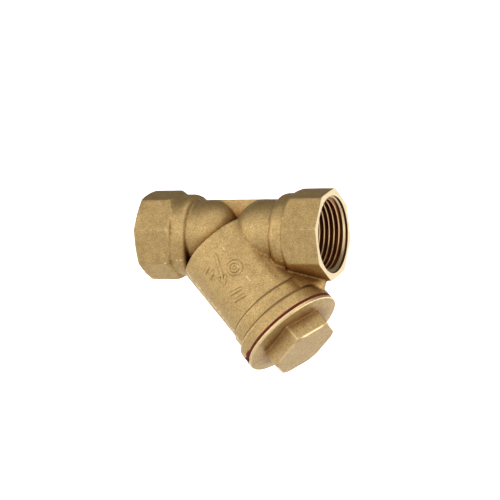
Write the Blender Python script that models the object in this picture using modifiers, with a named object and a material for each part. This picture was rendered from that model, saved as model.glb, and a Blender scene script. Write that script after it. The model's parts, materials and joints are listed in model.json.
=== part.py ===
"""Brass Y strainer with two G1 (DN 25) socket ends and a screw-in cap.

The run is the straight line from the inlet socket to the outlet socket. The branch leaves the
run below the outlet and holds a removable screen, closed by a cap with a hexagon head.

Frame: metres, origin at the centre of the inlet end face, +X along the run to the outlet,
+Z up. The object is symmetric about the plane Y = 0, apart from the turn of the cap's head.

Along the run, places are distances from an end face. Along the branch, they are distances
from the point where the branch axis crosses the run axis.
"""

import math

import bmesh
import bpy
from mathutils import Matrix, Vector

MM = 0.001
GAP = 0.3 * MM  # between pieces that rest on each other
FACETS = 48  # around a turned surface

# Run
RUN_LENGTH = 87 * MM
END_CORNER_RADIUS = 20.3 * MM  # octagon ends, 37.5 mm across flats
END_DEPTH = 15.6 * MM
END_CHAMFER_RADIUS = 18.9 * MM
END_CHAMFER_DEPTH = 1.8 * MM
COLLAR_RADIUS = 18.1 * MM
COLLAR_END = 20.0 * MM
SHOULDER_LENGTH = 3.5 * MM
TUBE_RADIUS = 15.5 * MM
OUTLET_BULB = 30.5 * MM  # from the outlet face to the centre of the rounded tube end

# Sockets, G1: 33.25 mm major and 30.29 mm minor diameter
SOCKET_RADIUS = 15.15 * MM
SOCKET_DEPTH = 17.5 * MM
MOUTH_RADIUS = 16.95 * MM
MOUTH_DEPTH = 1.8 * MM
BORE_RADIUS = 12.5 * MM
OUTLET_PASSAGE_RADIUS = 12.0 * MM
OUTLET_PASSAGE_END = 24.5 * MM

# Branch
BRANCH_X = 28.2 * MM
BRANCH_ANGLE = math.radians(46)
BRANCH_START = 8.0 * MM
BRANCH_RADIUS = 20.0 * MM
BAND_START = 45.2 * MM
BAND_RADIUS = 20.8 * MM
RIM_START = 51.9 * MM
RIM_RADIUS = 23.0 * MM
MOUTH_FACE = 57.5 * MM
SEAT_FACE = 11.0 * MM
SEAT_RADIUS = 15.2 * MM
CHAMBER_START = 14.0 * MM
CHAMBER_RADIUS = 17.2 * MM
THREAD_START = 48.5 * MM
THREAD_RADIUS = 18.2 * MM  # M38 x 1.5 minor radius
THREAD_LEAD_IN = 1.3 * MM

# Web between the two tubes, and the gusset between the branch and the outlet
WEB_HALF_WIDTH = 2.0 * MM
WEB_BOTTOM = 4.0 * MM
GUSSET_START = 59.5 * MM
GUSSET_NOSE = 83.5 * MM
GUSSET_HALF_WIDTH = 14.8 * MM
GUSSET_FULLNESS = 0.6  # 0.5 would make the plan outline an ellipse
GUSSET_SINK = 0.4 * MM
GUSSET_TOP = (
    Vector((61.0, 11.5, -9.0)) * MM,
    Vector((66.5, 10.4, -13.5)) * MM,
    Vector((71.2, 7.6, -15.5)) * MM,
    Vector((80.0, 2.0, -18.0)) * MM,
    Vector((85.0, 0.5, -18.8)) * MM,
)

# Gasket and cap
GASKET_INNER = 19.3 * MM
GASKET_OUTER = 23.0 * MM
GASKET_THICKNESS = 0.8 * MM
FLANGE_BACK = MOUTH_FACE + GASKET_THICKNESS + 2 * GAP
FLANGE_EDGE = 60.3 * MM
FLANGE_RADIUS = 23.15 * MM
HEAD_BASE = 61.3 * MM
HEAD_TOP = 69.2 * MM
HEAD_CORNER_RADIUS = 16.8 * MM  # 29 mm across flats
HEAD_TURN = math.radians(14.4)
HEAD_CHAMFER_RADIUS = 14.6 * MM
HEAD_CHAMFER_DEPTH = 0.9 * MM
HEAD_HOLLOW_RADIUS = 11.5 * MM
HEAD_HOLLOW_END = 64.5 * MM
SPIGOT_RADIUS = THREAD_RADIUS - GAP
SPIGOT_START = 50.2 * MM
RECESS_RADIUS = 15.2 * MM
RECESS_FLOOR = 56.3 * MM

# Screen: a rolled sleeve whose ends stand in two grooved rings
SLEEVE_RADIUS = 13.9 * MM
SLEEVE_THICKNESS = 0.5 * MM
RING_OUTER = 14.9 * MM
RING_INNER = 12.9 * MM
RING_LENGTH = 3.0 * MM
RING_BASE = 0.8 * MM

BRANCH_AXIS = Vector((math.cos(BRANCH_ANGLE), 0, -math.sin(BRANCH_ANGLE)))
BRANCH_UP = Vector((math.sin(BRANCH_ANGLE), 0, math.cos(BRANCH_ANGLE)))
BRANCH_ORIGIN = Vector((BRANCH_X, 0, 0))


def new_collection(name):
    collection = bpy.data.collections.new(name)
    bpy.context.scene.collection.children.link(collection)
    return collection


def material(name, colour, roughness, metallic):
    made = bpy.data.materials.new(name)
    made.use_nodes = True
    shader = made.node_tree.nodes["Principled BSDF"]
    shader.inputs["Base Color"].default_value = (*colour, 1)
    shader.inputs["Roughness"].default_value = roughness
    shader.inputs["Metallic"].default_value = metallic
    return made


def frame_on(point, direction, side):
    """A frame at point, with local Z along direction and local X along side."""
    rotation = Matrix((side, direction.cross(side), direction)).transposed()
    return Matrix.Translation(point) @ rotation.to_4x4()


BRANCH_FRAME = frame_on(BRANCH_ORIGIN, BRANCH_AXIS, BRANCH_UP)
INLET_FRAME = frame_on(Vector((0, 0, 0)), Vector((1, 0, 0)), Vector((0, 0, 1)))
OUTLET_FRAME = frame_on(Vector((RUN_LENGTH, 0, 0)), Vector((-1, 0, 0)), Vector((0, 0, 1)))


def add_object(name, mesh, collection, frame):
    made = bpy.data.objects.new(name, mesh)
    collection.objects.link(made)
    made.matrix_world = frame
    return made


def guide(made):
    """Marks an object as a tool that shapes another and is no piece of its own."""
    made.hide_render = True
    made.display_type = "WIRE"
    return made


def turned(name, outline, collection, frame, facets=FACETS):
    """A solid turned about local Z from (radius, height) points, top to bottom on its outer side."""
    ring = outline[0][0] > 0
    edges = [(i, i + 1) for i in range(len(outline) - 1)]
    if ring:
        edges.append((len(outline) - 1, 0))
    mesh = bpy.data.meshes.new(name)
    mesh.from_pydata([(radius, 0, height) for radius, height in outline], edges, [])
    made = add_object(name, mesh, collection, frame)
    screw = made.modifiers.new("turn", "SCREW")
    screw.axis = "Z"
    screw.angle = math.tau
    screw.steps = facets
    screw.render_steps = facets
    screw.use_merge_vertices = True
    screw.merge_threshold = 0.00001
    return made


def prism(name, sides, corner_radius, bottom, top, collection, frame, turn=0):
    """A regular prism along local Z, with a corner on local X before the turn."""
    mesh = bpy.data.meshes.new(name)
    shape = bmesh.new()
    place = Matrix.Translation((0, 0, (bottom + top) / 2)) @ Matrix.Rotation(turn, 4, "Z")
    bmesh.ops.create_cone(
        shape,
        cap_ends=True,
        segments=sides,
        radius1=corner_radius,
        radius2=corner_radius,
        depth=top - bottom,
        matrix=place,
    )
    shape.to_mesh(mesh)
    shape.free()
    return add_object(name, mesh, collection, frame)


def combine(target, tool, operation):
    step = target.modifiers.new(f"{operation.lower()} {tool.name}", "BOOLEAN")
    step.operation = operation
    step.object = tool
    step.solver = "EXACT"


def arc(centre_radius, centre_height, size, start, end, steps):
    """Points on a circle of the outline plane, with angles from the radius direction."""
    return [
        (
            centre_radius + size * math.cos(start + (end - start) * i / steps),
            centre_height + size * math.sin(start + (end - start) * i / steps),
        )
        for i in range(steps + 1)
    ]


def end_tube(name, bulb_centre, frame, tools):
    """Collar, rounded shoulder and tube of one end, closed by a hemisphere inside the body."""
    shoulder = COLLAR_RADIUS - TUBE_RADIUS
    rounding = [
        (
            TUBE_RADIUS + shoulder * math.cos(i * math.pi / 12),
            COLLAR_END + SHOULDER_LENGTH * math.sin(i * math.pi / 12),
        )
        for i in range(7)
    ]
    dome = arc(0, bulb_centre, TUBE_RADIUS, 0, math.pi / 2, 8)
    outline = [(0, END_DEPTH / 2), (COLLAR_RADIUS, END_DEPTH / 2)] + rounding + dome
    outline[-1] = (0, bulb_centre + TUBE_RADIUS)
    return guide(turned(name, outline[::-1], tools, frame))


def end_octagon(name, frame, tools):
    """An octagon end with its inner corners turned down to a cone."""
    octagon = guide(prism(name, 8, END_CORNER_RADIUS, 0, END_DEPTH, tools, frame))
    envelope = [
        (0, END_DEPTH + 1 * MM),
        (END_CHAMFER_RADIUS - (END_CORNER_RADIUS - END_CHAMFER_RADIUS) / 2, END_DEPTH + 1 * MM),
        (END_CORNER_RADIUS + 1 * MM, END_DEPTH - END_CHAMFER_DEPTH - 1 * MM),
        (END_CORNER_RADIUS + 1 * MM, -1 * MM),
        (0, -1 * MM),
    ]
    combine(octagon, guide(turned(f"{name} chamfer", envelope, tools, frame)), "INTERSECT")
    return octagon


def top_web(tools):
    """A thin upright web that joins the two tubes above the branch."""
    mesh = bpy.data.meshes.new("top web")
    shape = bmesh.new()
    length = RUN_LENGTH - OUTLET_BULB - BRANCH_X
    height = TUBE_RADIUS - WEB_BOTTOM
    size = Matrix.Diagonal((length, 2 * WEB_HALF_WIDTH, height, 1))
    centre = Vector((BRANCH_X + length / 2, 0, WEB_BOTTOM + height / 2))
    bmesh.ops.create_cube(shape, size=1, matrix=Matrix.Translation(centre) @ size)
    shape.to_mesh(mesh)
    shape.free()
    return guide(add_object("top web", mesh, tools, Matrix.Identity(4)))


def gusset_edge_point(x):
    """The gusset's edge on the branch, at a place along the run and just under the surface."""
    along = (x - GUSSET_START) / (GUSSET_NOSE - GUSSET_START)
    y = GUSSET_HALF_WIDTH * max(0, 1 - along * along) ** GUSSET_FULLNESS
    radius = BRANCH_RADIUS + (RIM_RADIUS - BRANCH_RADIUS) * along**3 - GUSSET_SINK
    across = math.sqrt(radius * radius - y * y)
    t = (x - BRANCH_X - across * math.sin(BRANCH_ANGLE)) / math.cos(BRANCH_ANGLE)
    return Vector((x, y, across * math.cos(BRANCH_ANGLE) - t * math.sin(BRANCH_ANGLE)))


def gusset(tools):
    """The fill of the crotch: a hull from its edge on the branch to its edge under the outlet."""
    steps = 12
    places = [GUSSET_START + (GUSSET_NOSE - GUSSET_START) * i / steps for i in range(steps + 1)]
    points = [gusset_edge_point(x) for x in places] + list(GUSSET_TOP)
    shape = bmesh.new()
    for point in points:
        shape.verts.new(point)
        shape.verts.new((point.x, -point.y, point.z))
    bmesh.ops.remove_doubles(shape, verts=shape.verts, dist=0.01 * MM)
    hull = bmesh.ops.convex_hull(shape, input=shape.verts)
    inside = {v for v in hull["geom_interior"] + hull["geom_unused"] if isinstance(v, bmesh.types.BMVert)}
    bmesh.ops.delete(shape, geom=list(inside), context="VERTS")
    bmesh.ops.recalc_face_normals(shape, faces=shape.faces)
    mesh = bpy.data.meshes.new("gusset")
    shape.to_mesh(mesh)
    shape.free()
    return guide(add_object("gusset", mesh, tools, Matrix.Identity(4)))


def branch_outline():
    """The outside of the branch, from its mouth back to its flat start."""
    step = 0.8 * MM
    return [
        (0, MOUTH_FACE),
        (RIM_RADIUS, MOUTH_FACE),
        (RIM_RADIUS, RIM_START + step),
        (RIM_RADIUS - step, RIM_START),
        (BAND_RADIUS, RIM_START),
        (BAND_RADIUS, BAND_START + step / 2),
        (BRANCH_RADIUS, BAND_START),
        (BRANCH_RADIUS, BRANCH_START),
        (0, BRANCH_START),
    ]


def socket_cut(name, bore_radius, bore_end, frame, tools):
    """The hollow of one end: mouth, thread core and the bore behind it, closed by a hemisphere."""
    past_face = -1 * MM
    mouth_slope = (MOUTH_RADIUS - SOCKET_RADIUS) / MOUTH_DEPTH
    dome = arc(0, bore_end, bore_radius, math.pi / 2, 0, 8)
    dome[0] = (0, bore_end + bore_radius)
    outline = dome + [
        (bore_radius, SOCKET_DEPTH + 1 * MM),
        (SOCKET_RADIUS, SOCKET_DEPTH),
        (SOCKET_RADIUS, MOUTH_DEPTH),
        (MOUTH_RADIUS - mouth_slope * past_face, past_face),
        (0, past_face),
    ]
    return guide(turned(name, outline, tools, frame))


def branch_cut(tools):
    """The hollow of the branch: threaded mouth, chamber, screen seat and the elbow's lower half."""
    past_face = MOUTH_FACE + 1 * MM
    outline = [
        (0, past_face),
        (THREAD_RADIUS + THREAD_LEAD_IN + 1 * MM, past_face),
        (THREAD_RADIUS, MOUTH_FACE - THREAD_LEAD_IN),
        (THREAD_RADIUS, THREAD_START),
        (CHAMBER_RADIUS, THREAD_START - 1 * MM),
        (CHAMBER_RADIUS, CHAMBER_START),
        (SEAT_RADIUS, CHAMBER_START),
        (SEAT_RADIUS, SEAT_FACE),
        (BORE_RADIUS - 0.05 * MM, SEAT_FACE),
        (BORE_RADIUS - 0.05 * MM, 0.4 * MM),
        (0, 0.4 * MM),
    ]
    return guide(turned("branch cut", outline, tools, BRANCH_FRAME))


def valve_body(parts, tools, brass):
    """The casting with its machined hollows, as one solid."""
    body = turned("valve_body", branch_outline(), parts, BRANCH_FRAME)
    body.data.materials.append(brass)
    for tool in (
        end_tube("inlet tube", BRANCH_X, INLET_FRAME, tools),
        end_tube("outlet tube", OUTLET_BULB, OUTLET_FRAME, tools),
        end_octagon("inlet octagon", INLET_FRAME, tools),
        end_octagon("outlet octagon", OUTLET_FRAME, tools),
        top_web(tools),
        gusset(tools),
    ):
        combine(body, tool, "UNION")
    for tool in (
        socket_cut("inlet cut", BORE_RADIUS, BRANCH_X, INLET_FRAME, tools),
        socket_cut("outlet cut", OUTLET_PASSAGE_RADIUS, OUTLET_PASSAGE_END, OUTLET_FRAME, tools),
        branch_cut(tools),
    ):
        combine(body, tool, "DIFFERENCE")
    return body


def cap_gasket(parts, fibre):
    bottom = MOUTH_FACE + GAP
    outline = [
        (GASKET_OUTER, bottom + GASKET_THICKNESS),
        (GASKET_OUTER, bottom),
        (GASKET_INNER, bottom),
        (GASKET_INNER, bottom + GASKET_THICKNESS),
    ]
    made = turned("cap_gasket", outline, parts, BRANCH_FRAME)
    made.data.materials.append(fibre)
    return made


def strainer_cap(parts, tools, brass):
    """Flange, spigot and hexagon head in one piece, hollow for the end of the screen."""
    outline = [
        (0, HEAD_BASE),
        (HEAD_CORNER_RADIUS - 1.5 * MM, HEAD_BASE),
        (FLANGE_RADIUS, FLANGE_EDGE),
        (FLANGE_RADIUS, FLANGE_BACK),
        (SPIGOT_RADIUS, FLANGE_BACK),
        (SPIGOT_RADIUS, SPIGOT_START + 0.8 * MM),
        (SPIGOT_RADIUS - 0.8 * MM, SPIGOT_START),
        (0, SPIGOT_START),
    ]
    cap = turned("strainer_cap", outline, parts, BRANCH_FRAME)
    cap.data.materials.append(brass)
    frame = BRANCH_FRAME
    head = guide(prism("head", 6, HEAD_CORNER_RADIUS, FLANGE_EDGE, HEAD_TOP, tools, frame, HEAD_TURN))
    slope = HEAD_CHAMFER_DEPTH / (HEAD_CORNER_RADIUS - HEAD_CHAMFER_RADIUS)
    reach = HEAD_CORNER_RADIUS + 1 * MM
    envelope = [
        (0, HEAD_TOP),
        (HEAD_CHAMFER_RADIUS, HEAD_TOP),
        (reach, HEAD_TOP - slope * (reach - HEAD_CHAMFER_RADIUS)),
        (reach, FLANGE_EDGE - 1 * MM),
        (0, FLANGE_EDGE - 1 * MM),
    ]
    combine(head, guide(turned("head chamfer", envelope, tools, frame)), "INTERSECT")
    combine(cap, head, "UNION")
    hollow = [
        (0, HEAD_HOLLOW_END),
        (HEAD_HOLLOW_RADIUS, HEAD_HOLLOW_END),
        (HEAD_HOLLOW_RADIUS, RECESS_FLOOR),
        (RECESS_RADIUS, RECESS_FLOOR),
        (RECESS_RADIUS, SPIGOT_START - 1 * MM),
        (0, SPIGOT_START - 1 * MM),
    ]
    combine(cap, guide(turned("cap hollow", hollow, tools, frame)), "DIFFERENCE")
    return cap


def screen_sleeve(parts, steel):
    inner = SLEEVE_RADIUS - SLEEVE_THICKNESS / 2
    outer = SLEEVE_RADIUS + SLEEVE_THICKNESS / 2
    bottom = SEAT_FACE + RING_BASE + 2 * GAP
    top = RECESS_FLOOR - RING_BASE - 2 * GAP
    outline = [(outer, top), (outer, bottom), (inner, bottom), (inner, top)]
    made = turned("screen_sleeve", outline, parts, BRANCH_FRAME)
    made.data.materials.append(steel)
    return made


def screen_ring(name, base_height, groove_side, parts, steel):
    """A ring with a groove for the sleeve. groove_side is +1 when the groove opens to local +Z."""
    inner = SLEEVE_RADIUS - SLEEVE_THICKNESS / 2 - GAP
    outer = SLEEVE_RADIUS + SLEEVE_THICKNESS / 2 + GAP
    lip = base_height + groove_side * RING_LENGTH
    floor = base_height + groove_side * RING_BASE
    outline = [
        (RING_OUTER, lip),
        (RING_OUTER, base_height),
        (RING_INNER, base_height),
        (RING_INNER, lip),
        (inner, lip),
        (inner, floor),
        (outer, floor),
        (outer, lip),
    ]
    if groove_side < 0:
        outline.reverse()
    made = turned(name, outline, parts, BRANCH_FRAME)
    made.data.materials.append(steel)
    return made


def build():
    for old in list(bpy.data.objects):
        bpy.data.objects.remove(old)
    parts = new_collection("y_strainer")
    tools = new_collection("cutters")
    brass = material("brass", (0.60, 0.42, 0.20), 0.45, 1)
    fibre = material("gasket_fibre", (0.30, 0.04, 0.03), 0.8, 0)
    steel = material("screen_steel", (0.62, 0.62, 0.60), 0.35, 1)
    valve_body(parts, tools, brass)
    cap_gasket(parts, fibre)
    strainer_cap(parts, tools, brass)
    screen_sleeve(parts, steel)
    screen_ring("screen_seat_ring", SEAT_FACE + GAP, 1, parts, steel)
    screen_ring("screen_cap_ring", RECESS_FLOOR - GAP, -1, parts, steel)


build()
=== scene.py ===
"""The looks of the brass Y strainer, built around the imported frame.

The casting and the cap are rebuilt as fine meshes: their rough forms are remeshed and softened as
castings are, then machined with Boolean cutters that hold the real threads. Lengths are in
millimetres times MM, and MM comes from the frame's own run length.
"""

import json
import math

import bmesh
import bpy
import numpy as np
from mathutils import Matrix, Vector, noise


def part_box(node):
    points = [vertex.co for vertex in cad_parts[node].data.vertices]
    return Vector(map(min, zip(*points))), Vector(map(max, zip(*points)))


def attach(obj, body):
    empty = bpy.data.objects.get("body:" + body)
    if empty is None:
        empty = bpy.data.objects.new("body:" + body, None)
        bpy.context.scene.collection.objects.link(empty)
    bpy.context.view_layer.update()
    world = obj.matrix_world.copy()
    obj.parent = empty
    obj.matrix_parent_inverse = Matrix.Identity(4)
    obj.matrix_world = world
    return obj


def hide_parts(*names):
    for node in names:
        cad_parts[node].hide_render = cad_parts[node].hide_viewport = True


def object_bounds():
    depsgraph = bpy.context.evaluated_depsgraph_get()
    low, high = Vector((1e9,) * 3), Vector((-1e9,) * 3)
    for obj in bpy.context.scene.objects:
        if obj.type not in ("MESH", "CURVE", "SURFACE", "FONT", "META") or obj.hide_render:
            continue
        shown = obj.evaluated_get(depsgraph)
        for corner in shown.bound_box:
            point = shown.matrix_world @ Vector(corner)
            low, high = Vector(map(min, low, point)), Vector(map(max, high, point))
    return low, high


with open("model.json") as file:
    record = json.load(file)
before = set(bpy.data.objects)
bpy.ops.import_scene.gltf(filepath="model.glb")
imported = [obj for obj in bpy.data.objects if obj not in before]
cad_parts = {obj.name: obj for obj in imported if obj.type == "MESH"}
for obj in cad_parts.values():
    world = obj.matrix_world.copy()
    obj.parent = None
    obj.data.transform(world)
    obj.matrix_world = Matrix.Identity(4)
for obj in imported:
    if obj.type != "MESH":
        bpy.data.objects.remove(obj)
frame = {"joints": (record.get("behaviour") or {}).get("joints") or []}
cad_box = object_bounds()

# The frame: units, axes and joints
body_low, body_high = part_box("valve_body")
RUN_LENGTH = body_high.x - body_low.x
MM = RUN_LENGTH / 87
joints = {joint["name"]: joint for joint in frame["joints"]}
BRANCH_AXIS = Vector(joints["screen_pull"]["axis"]).normalized()
BRANCH_UP = Vector((-BRANCH_AXIS.z, 0, BRANCH_AXIS.x))
CAP_CENTRE = Vector(joints["cap_turn"]["pos_m"])
BRANCH_ORIGIN = CAP_CENTRE - BRANCH_AXIS * (CAP_CENTRE.z / BRANCH_AXIS.z)
ANGLE = math.atan2(-BRANCH_AXIS.z, BRANCH_AXIS.x)
INLET_BULB = BRANCH_ORIGIN.x

# Casting, as in the frame's valve_body
END_ACROSS_FLATS = 37.5 * MM
END_DEPTH = 15.6 * MM
END_CORNER_RADIUS = 20.15 * MM  # the corners are worn round
END_CHAMFER_RADIUS = 18.9 * MM
END_CHAMFER_SLOPE = 0.8
CROWN_DEPTH = 7.0 * MM
# Each end: how far its flats swell to a circle at the face, its extra depth at the parting line,
# and the loss of that depth with height
INLET_SHAPE = (0.5, 2.0 * MM, 0.17)
OUTLET_SHAPE = (0.06, 0.8 * MM, 0.0)
COLLAR_RADIUS = 18.1 * MM
COLLAR_END = 20.0 * MM
SHOULDER_LENGTH = 3.5 * MM
TUBE_RADIUS = 15.5 * MM
OUTLET_BULB = 30.5 * MM
BRANCH_START = 8.0 * MM
BRANCH_RADIUS = 20.0 * MM
BAND_START = 45.2 * MM
BAND_RADIUS = 20.8 * MM
BAND_GROOVE_WIDTH = 0.5 * MM
RIM_START = 51.9 * MM
RIM_RADIUS = 23.0 * MM
RIM_GROOVE_WIDTH = 0.9 * MM
GROOVE_DEPTH = 0.12 * MM
MOUTH_FACE = 57.5 * MM
WEB_HALF_WIDTH = 2.0 * MM
WEB_BOTTOM = 4.0 * MM
GUSSET_START = 59.5 * MM
GUSSET_NOSE = 83.5 * MM
GUSSET_HALF_WIDTH = 14.8 * MM
GUSSET_FULLNESS = 0.6
GUSSET_SINK = 0.3 * MM
GUSSET_TOP = (  # (x, half width, z) in mm
    (61.0, 11.5, -9.0),
    (66.5, 10.4, -13.5),
    (71.2, 7.6, -15.5),
    (80.0, 2.0, -18.0),
    (85.0, 0.5, -18.8),
)

# Machined hollows
FACING_RADIUS = 26 * MM  # of the discs that cut the end faces flat
SOCKET_MINOR = 15.145 * MM
SOCKET_MAJOR = 16.62 * MM
SOCKET_PITCH = 2.309 * MM
SOCKET_THREAD_END = 14.8 * MM
SOCKET_DEPTH = 17.5 * MM
MOUTH_RADIUS = 16.95 * MM
MOUTH_DEPTH = 1.1 * MM
BORE_RADIUS = 12.5 * MM
OUTLET_PASSAGE_RADIUS = 12.0 * MM
OUTLET_PASSAGE_END = 24.5 * MM
SEAT_FACE = 11.0 * MM
SEAT_RADIUS = 15.2 * MM
CHAMBER_START = 14.0 * MM
CHAMBER_RADIUS = 17.2 * MM
CAP_THREAD_MINOR = 18.19 * MM
CAP_THREAD_MAJOR = 19.0 * MM
CAP_PITCH = 1.5 * MM
CAP_THREAD_START = 50.0 * MM

# Raised marks on the front of the branch, as (distance along the branch, distance round it) in mm:
# a flow arrow, a ring round a stud, and plain bars
MARK_LINES = [
    ((16.6, 1.6), (28.6, -3.8)),
    ((28.6, -3.8), (25.4, -4.0)),
    ((28.6, -3.8), (26.8, -1.2)),
    ((18.4, -7.6), (17.8, -5.0)),
    ((21.8, -7.8), (21.2, -5.2)),
    ((34.0, -5.0), (35.6, 0.4)),
    ((37.4, -5.2), (39.0, 0.2)),
]
MARK_RINGS = [((26.8, 4.3), 2.8), ((26.8, 4.3), 0.0)]
MARK_WIDTH = 0.6 * MM
MARK_AREA = (30.0 * MM, 15.0 * MM, -2.0 * MM, 8.0 * MM)  # middle and half size along, and round
MARK_REACH = 1.0 * MM  # how far from the branch's radius a point of the marks may lie
MARK_HEIGHT = 0.5 * MM
SEAM_HEIGHT = 0.3 * MM
SEAM_HALF_WIDTH = 0.45 * MM
SEAM_ZONE = 1.5 * MM  # half height of the band of points that the seam may move

# Cap and gasket
FLANGE_BACK = 58.65 * MM
FLANGE_EDGE = 60.3 * MM
FLANGE_RADIUS = 23.15 * MM
HEAD_BASE = 61.3 * MM
HEAD_TOP = 69.2 * MM
HEAD_CORNER_RADIUS = 16.8 * MM
HEAD_CONE_RADIUS = 15.0 * MM  # of the cone that turns down the head's corners
HEAD_CONE_SLOPE = 2.0
HEAD_TURN = math.radians(14.4)
HEAD_BEVEL = 0.6 * MM
SPIGOT_START = 50.2 * MM
RECESS_RADIUS = 15.2 * MM
RECESS_FLOOR = 56.3 * MM
HOLLOW_RADIUS = 11.5 * MM
HOLLOW_END = 64.5 * MM
GASKET_INNER = 19.3 * MM
GASKET_OUTER = 22.72 * MM
GASKET_CROWN = 0.35 * MM
GASKET_PLAY = 0.03 * MM

# Screen
SLEEVE_RADIUS = 13.7 * MM
SHEET_THICKNESS = 0.4 * MM
SHEET_MARGIN = 2.5 * MM
HOLE_RADIUS = 0.6 * MM
LAP = math.radians(14)  # turn over which the sheet's end steps out over its start
RING_OUTER = 14.9 * MM
RING_INNER = 12.9 * MM

# The last slot is the dark brown of a painted shadow at the foot of the branch's steps
CAST, MACHINED, THREADED, SOCKET, STEP_SHADOW = range(5)  # material slots of the casting
FORGED, TURNED = range(2)  # material slots of the cap
VOXEL = 0.4 * MM
TURN_STEPS = 160


def frame_on(point, direction, side):
    """A frame at point, with local Z along direction and local X along side."""
    rotation = Matrix((side, direction.cross(side), direction)).transposed()
    return Matrix.Translation(point) @ rotation.to_4x4()


BRANCH = frame_on(BRANCH_ORIGIN, BRANCH_AXIS, BRANCH_UP)
INLET = frame_on(Vector((body_low.x, 0, 0)), Vector((1, 0, 0)), Vector((0, 0, 1)))
OUTLET = frame_on(Vector((body_high.x, 0, 0)), Vector((-1, 0, 0)), Vector((0, 0, 1)))


# Mesh building


def finished(shape, name, place=None):
    """Closes a bmesh into a mesh with its faces pointing out."""
    if place is not None:
        bmesh.ops.transform(shape, matrix=place, verts=shape.verts)
    bmesh.ops.recalc_face_normals(shape, faces=shape.faces)
    mesh = bpy.data.meshes.new(name)
    shape.to_mesh(mesh)
    shape.free()
    return mesh


def turned(radius, angle, height):
    """The point at a radius, an angle and a height about local Z."""
    return radius * math.cos(angle), radius * math.sin(angle), height


def lathe(name, outline, place, steps=None, slots=0):
    """A solid turned about local Z from the (radius, height) corners of its half section. slots is
    the material slot of the surface, or a list with the slot of each stretch between corners."""
    steps = steps or TURN_STEPS
    shape = bmesh.new()
    rings = []
    for radius, height in outline:
        if radius == 0:
            rings.append([shape.verts.new((0, 0, height))])
            continue
        angles = (math.tau * i / steps for i in range(steps))
        rings.append([shape.verts.new(turned(radius, a, height)) for a in angles])
    for k, (a, b) in enumerate(zip(rings, rings[1:] + rings[:1])):
        if len(a) == 1 and len(b) == 1:
            continue
        for i in range(steps):
            j = (i + 1) % steps
            if len(a) == 1:
                corners = (a[0], b[j], b[i])
            elif len(b) == 1:
                corners = (a[i], a[j], b[0])
            else:
                corners = (a[i], a[j], b[j], b[i])
            face = shape.faces.new(corners)
            face.material_index = slots if isinstance(slots, int) else slots[min(k, len(slots) - 1)]
    return finished(shape, name, place)


def polar_solid(name, radius_at, heights, place, steps=360, raise_by=None):
    """A solid whose radius is a function of angle and height, closed at both ends. raise_by, a
    function of the same two, moves each point along the axis."""
    shape = bmesh.new()
    rings = []
    for height in heights:
        ring = []
        for i in range(steps):
            angle = math.tau * i / steps
            radius = radius_at(angle, height)
            level = height + raise_by(angle, height) if raise_by else height
            ring.append(shape.verts.new(turned(radius, angle, level)))
        rings.append(ring)
    for a, b in zip(rings, rings[1:]):
        for i in range(steps):
            j = (i + 1) % steps
            shape.faces.new((a[i], a[j], b[j], b[i]))
    shape.faces.new(rings[0])
    shape.faces.new(rings[-1])
    return finished(shape, name, place)


def polygon_radius(angle, sides, apothem, turn=0.0):
    """Distance to the side of a regular polygon with a corner at the turn angle."""
    sector = math.tau / sides
    return apothem / math.cos((angle - turn) % sector - sector / 2)


def thread_form(phase):
    """0 at the root and 1 at the crest of a 55 degree thread, with rounded corners."""
    wave = 1 - abs(2 * phase - 1)
    flank = min(1, max(0, (wave - 0.06) * 1.25))
    return flank * flank * (3 - 2 * flank) * 0.35 + flank * 0.65


def threaded_rod(name, root, crest, pitch, low, high, place, slot, steps=120, samples=12):
    """A rod with a right-hand thread: each row of points is one helix of constant radius."""
    rows = max(samples + 1, round((high - low) / pitch * samples))
    shape = bmesh.new()
    columns = []
    for i in range(steps):
        angle = math.tau * i / steps
        column = []
        for k in range(rows + 1):
            radius = root + (crest - root) * thread_form((k % samples) / samples)
            height = low + pitch * (k / samples + i / steps)
            column.append(shape.verts.new(turned(radius, angle, height)))
        columns.append(column)
    for i in range(steps - 1):
        for k in range(rows):
            a, b = columns[i], columns[i + 1]
            shape.faces.new((a[k], b[k], b[k + 1], a[k + 1]))
    last, first = columns[-1], columns[0]
    for k in range(rows - samples):
        shape.faces.new((last[k], first[k + samples], first[k + samples + 1], last[k + 1]))
    bottom = [column[0] for column in columns] + [first[k] for k in range(samples, 0, -1)]
    top = [column[-1] for column in columns]
    top += [last[k] for k in range(rows - 1, rows - samples - 1, -1)]
    for loop, height in ((bottom, low + pitch / 2), (top, low + pitch * (rows / samples + 0.5))):
        centre = shape.verts.new((0, 0, height))
        for a, b in zip(loop, loop[1:] + loop[:1]):
            shape.faces.new((centre, a, b))
    for face in shape.faces:
        face.material_index = slot
    return finished(shape, name, place)


def hull(name, points):
    shape = bmesh.new()
    for point in points:
        shape.verts.new(point)
    bmesh.ops.remove_doubles(shape, verts=shape.verts, dist=0.01 * MM)
    made = bmesh.ops.convex_hull(shape, input=shape.verts)
    unused = made["geom_interior"] + made["geom_unused"]
    loose = {part for part in unused if isinstance(part, bmesh.types.BMVert)}
    bmesh.ops.delete(shape, geom=list(loose), context="VERTS")
    return finished(shape, name)


def block(name, low, high):
    shape = bmesh.new()
    centre = (Vector(low) + Vector(high)) / 2
    size = Vector(high) - Vector(low)
    place = Matrix.Translation(centre) @ Matrix.Diagonal((*size, 1))
    bmesh.ops.create_cube(shape, size=1, matrix=place)
    return finished(shape, name)


def add(name, mesh):
    made = bpy.data.objects.new(name, mesh)
    bpy.context.scene.collection.objects.link(made)
    return made


def settle(piece):
    """Applies a piece's modifiers to its mesh."""
    bpy.context.view_layer.update()
    graph = bpy.context.evaluated_depsgraph_get()
    mesh = bpy.data.meshes.new_from_object(piece.evaluated_get(graph))
    piece.modifiers.clear()
    piece.data = mesh
    return piece


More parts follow.
